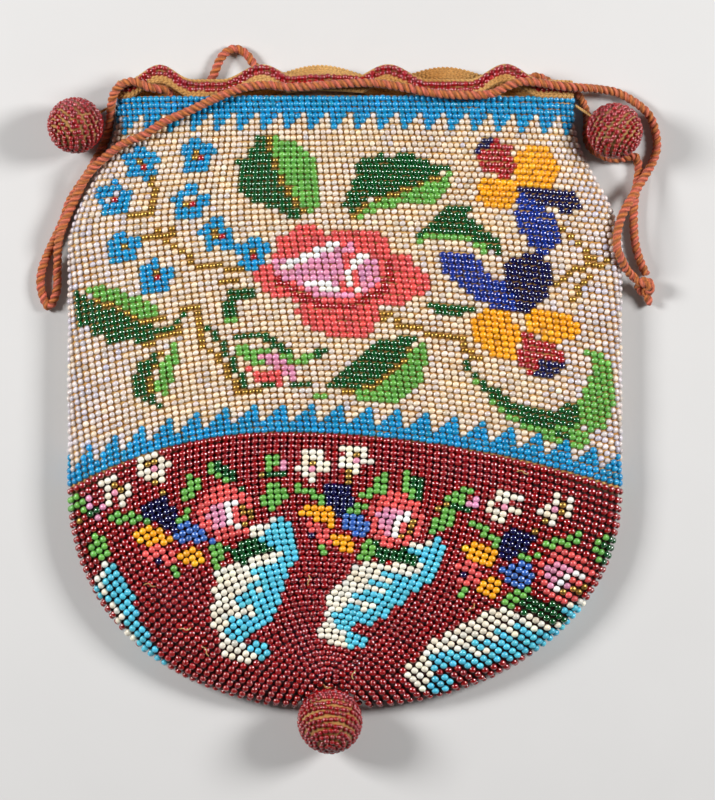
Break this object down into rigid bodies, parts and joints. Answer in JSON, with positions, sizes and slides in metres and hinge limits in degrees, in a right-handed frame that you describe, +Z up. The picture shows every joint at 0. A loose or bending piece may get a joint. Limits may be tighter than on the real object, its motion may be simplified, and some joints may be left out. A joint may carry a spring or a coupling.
{
  "type": "beaded drawstring bag",
  "caption": "Flat bead-knit pouch with a round base, arched eyelet rim, twisted drawstring and beaded balls on threads at its mouth corners and base.",
  "frame": {"origin": "on the table under the middle of the bag, midway between the rim and the foot of the base ball and midway between the side balls", "axes": "+Z up from the table through the bag's thickness, +Y from the base towards the mouth, +X to the right of the decorated face"},
  "size_m": [0.1882, 0.2128, 0.0198],
  "materials": {
    "pearl_beads": "small opaque and pearly glass beads knitted on tan thread",
    "ruby_beads": "clear dark red glass beads",
    "crochet_thread": "tan twisted thread",
    "turned_wood": "plain turned wood",
    "twisted_cord": "salmon pink two-ply twist"
  },
  "bodies": {
    "bag": {"bag_body": "pearl_beads", "eyelet_strip": "crochet_thread", "rim_band": "ruby_beads", "drawstring_front": "twisted_cord", "drawstring_back": "twisted_cord", "drawstring_knot": "twisted_cord"},
    "left_ball": {"left_ball_cover": "ruby_beads", "left_ball_core": "turned_wood", "left_ball_thread": "crochet_thread"},
    "right_ball": {"right_ball_cover": "ruby_beads", "right_ball_core": "turned_wood", "right_ball_thread": "crochet_thread"},
    "base_ball": {"base_ball_cover": "ruby_beads", "base_ball_core": "turned_wood", "base_ball_thread": "crochet_thread"}
  },
  "joints": [
    {"name": "left_ball_swing", "type": "hinge", "parent": "bag", "child": "left_ball", "pos_m": [-0.0693, 0.09165, 0.0024], "axis": [0, 0, -1], "range_deg": [0, 80]},
    {"name": "right_ball_lift", "type": "hinge", "parent": "bag", "child": "right_ball", "pos_m": [0.06913, 0.09115, 0.005], "axis": [-0.5591, -0.8291, 0], "range_deg": [0, 75]},
    {"name": "base_ball_lift", "type": "hinge", "parent": "bag", "child": "base_ball", "pos_m": [-0.0045, -0.08445, 0.0032], "axis": [-1, 0, 0], "range_deg": [0, 25]}
  ]
}
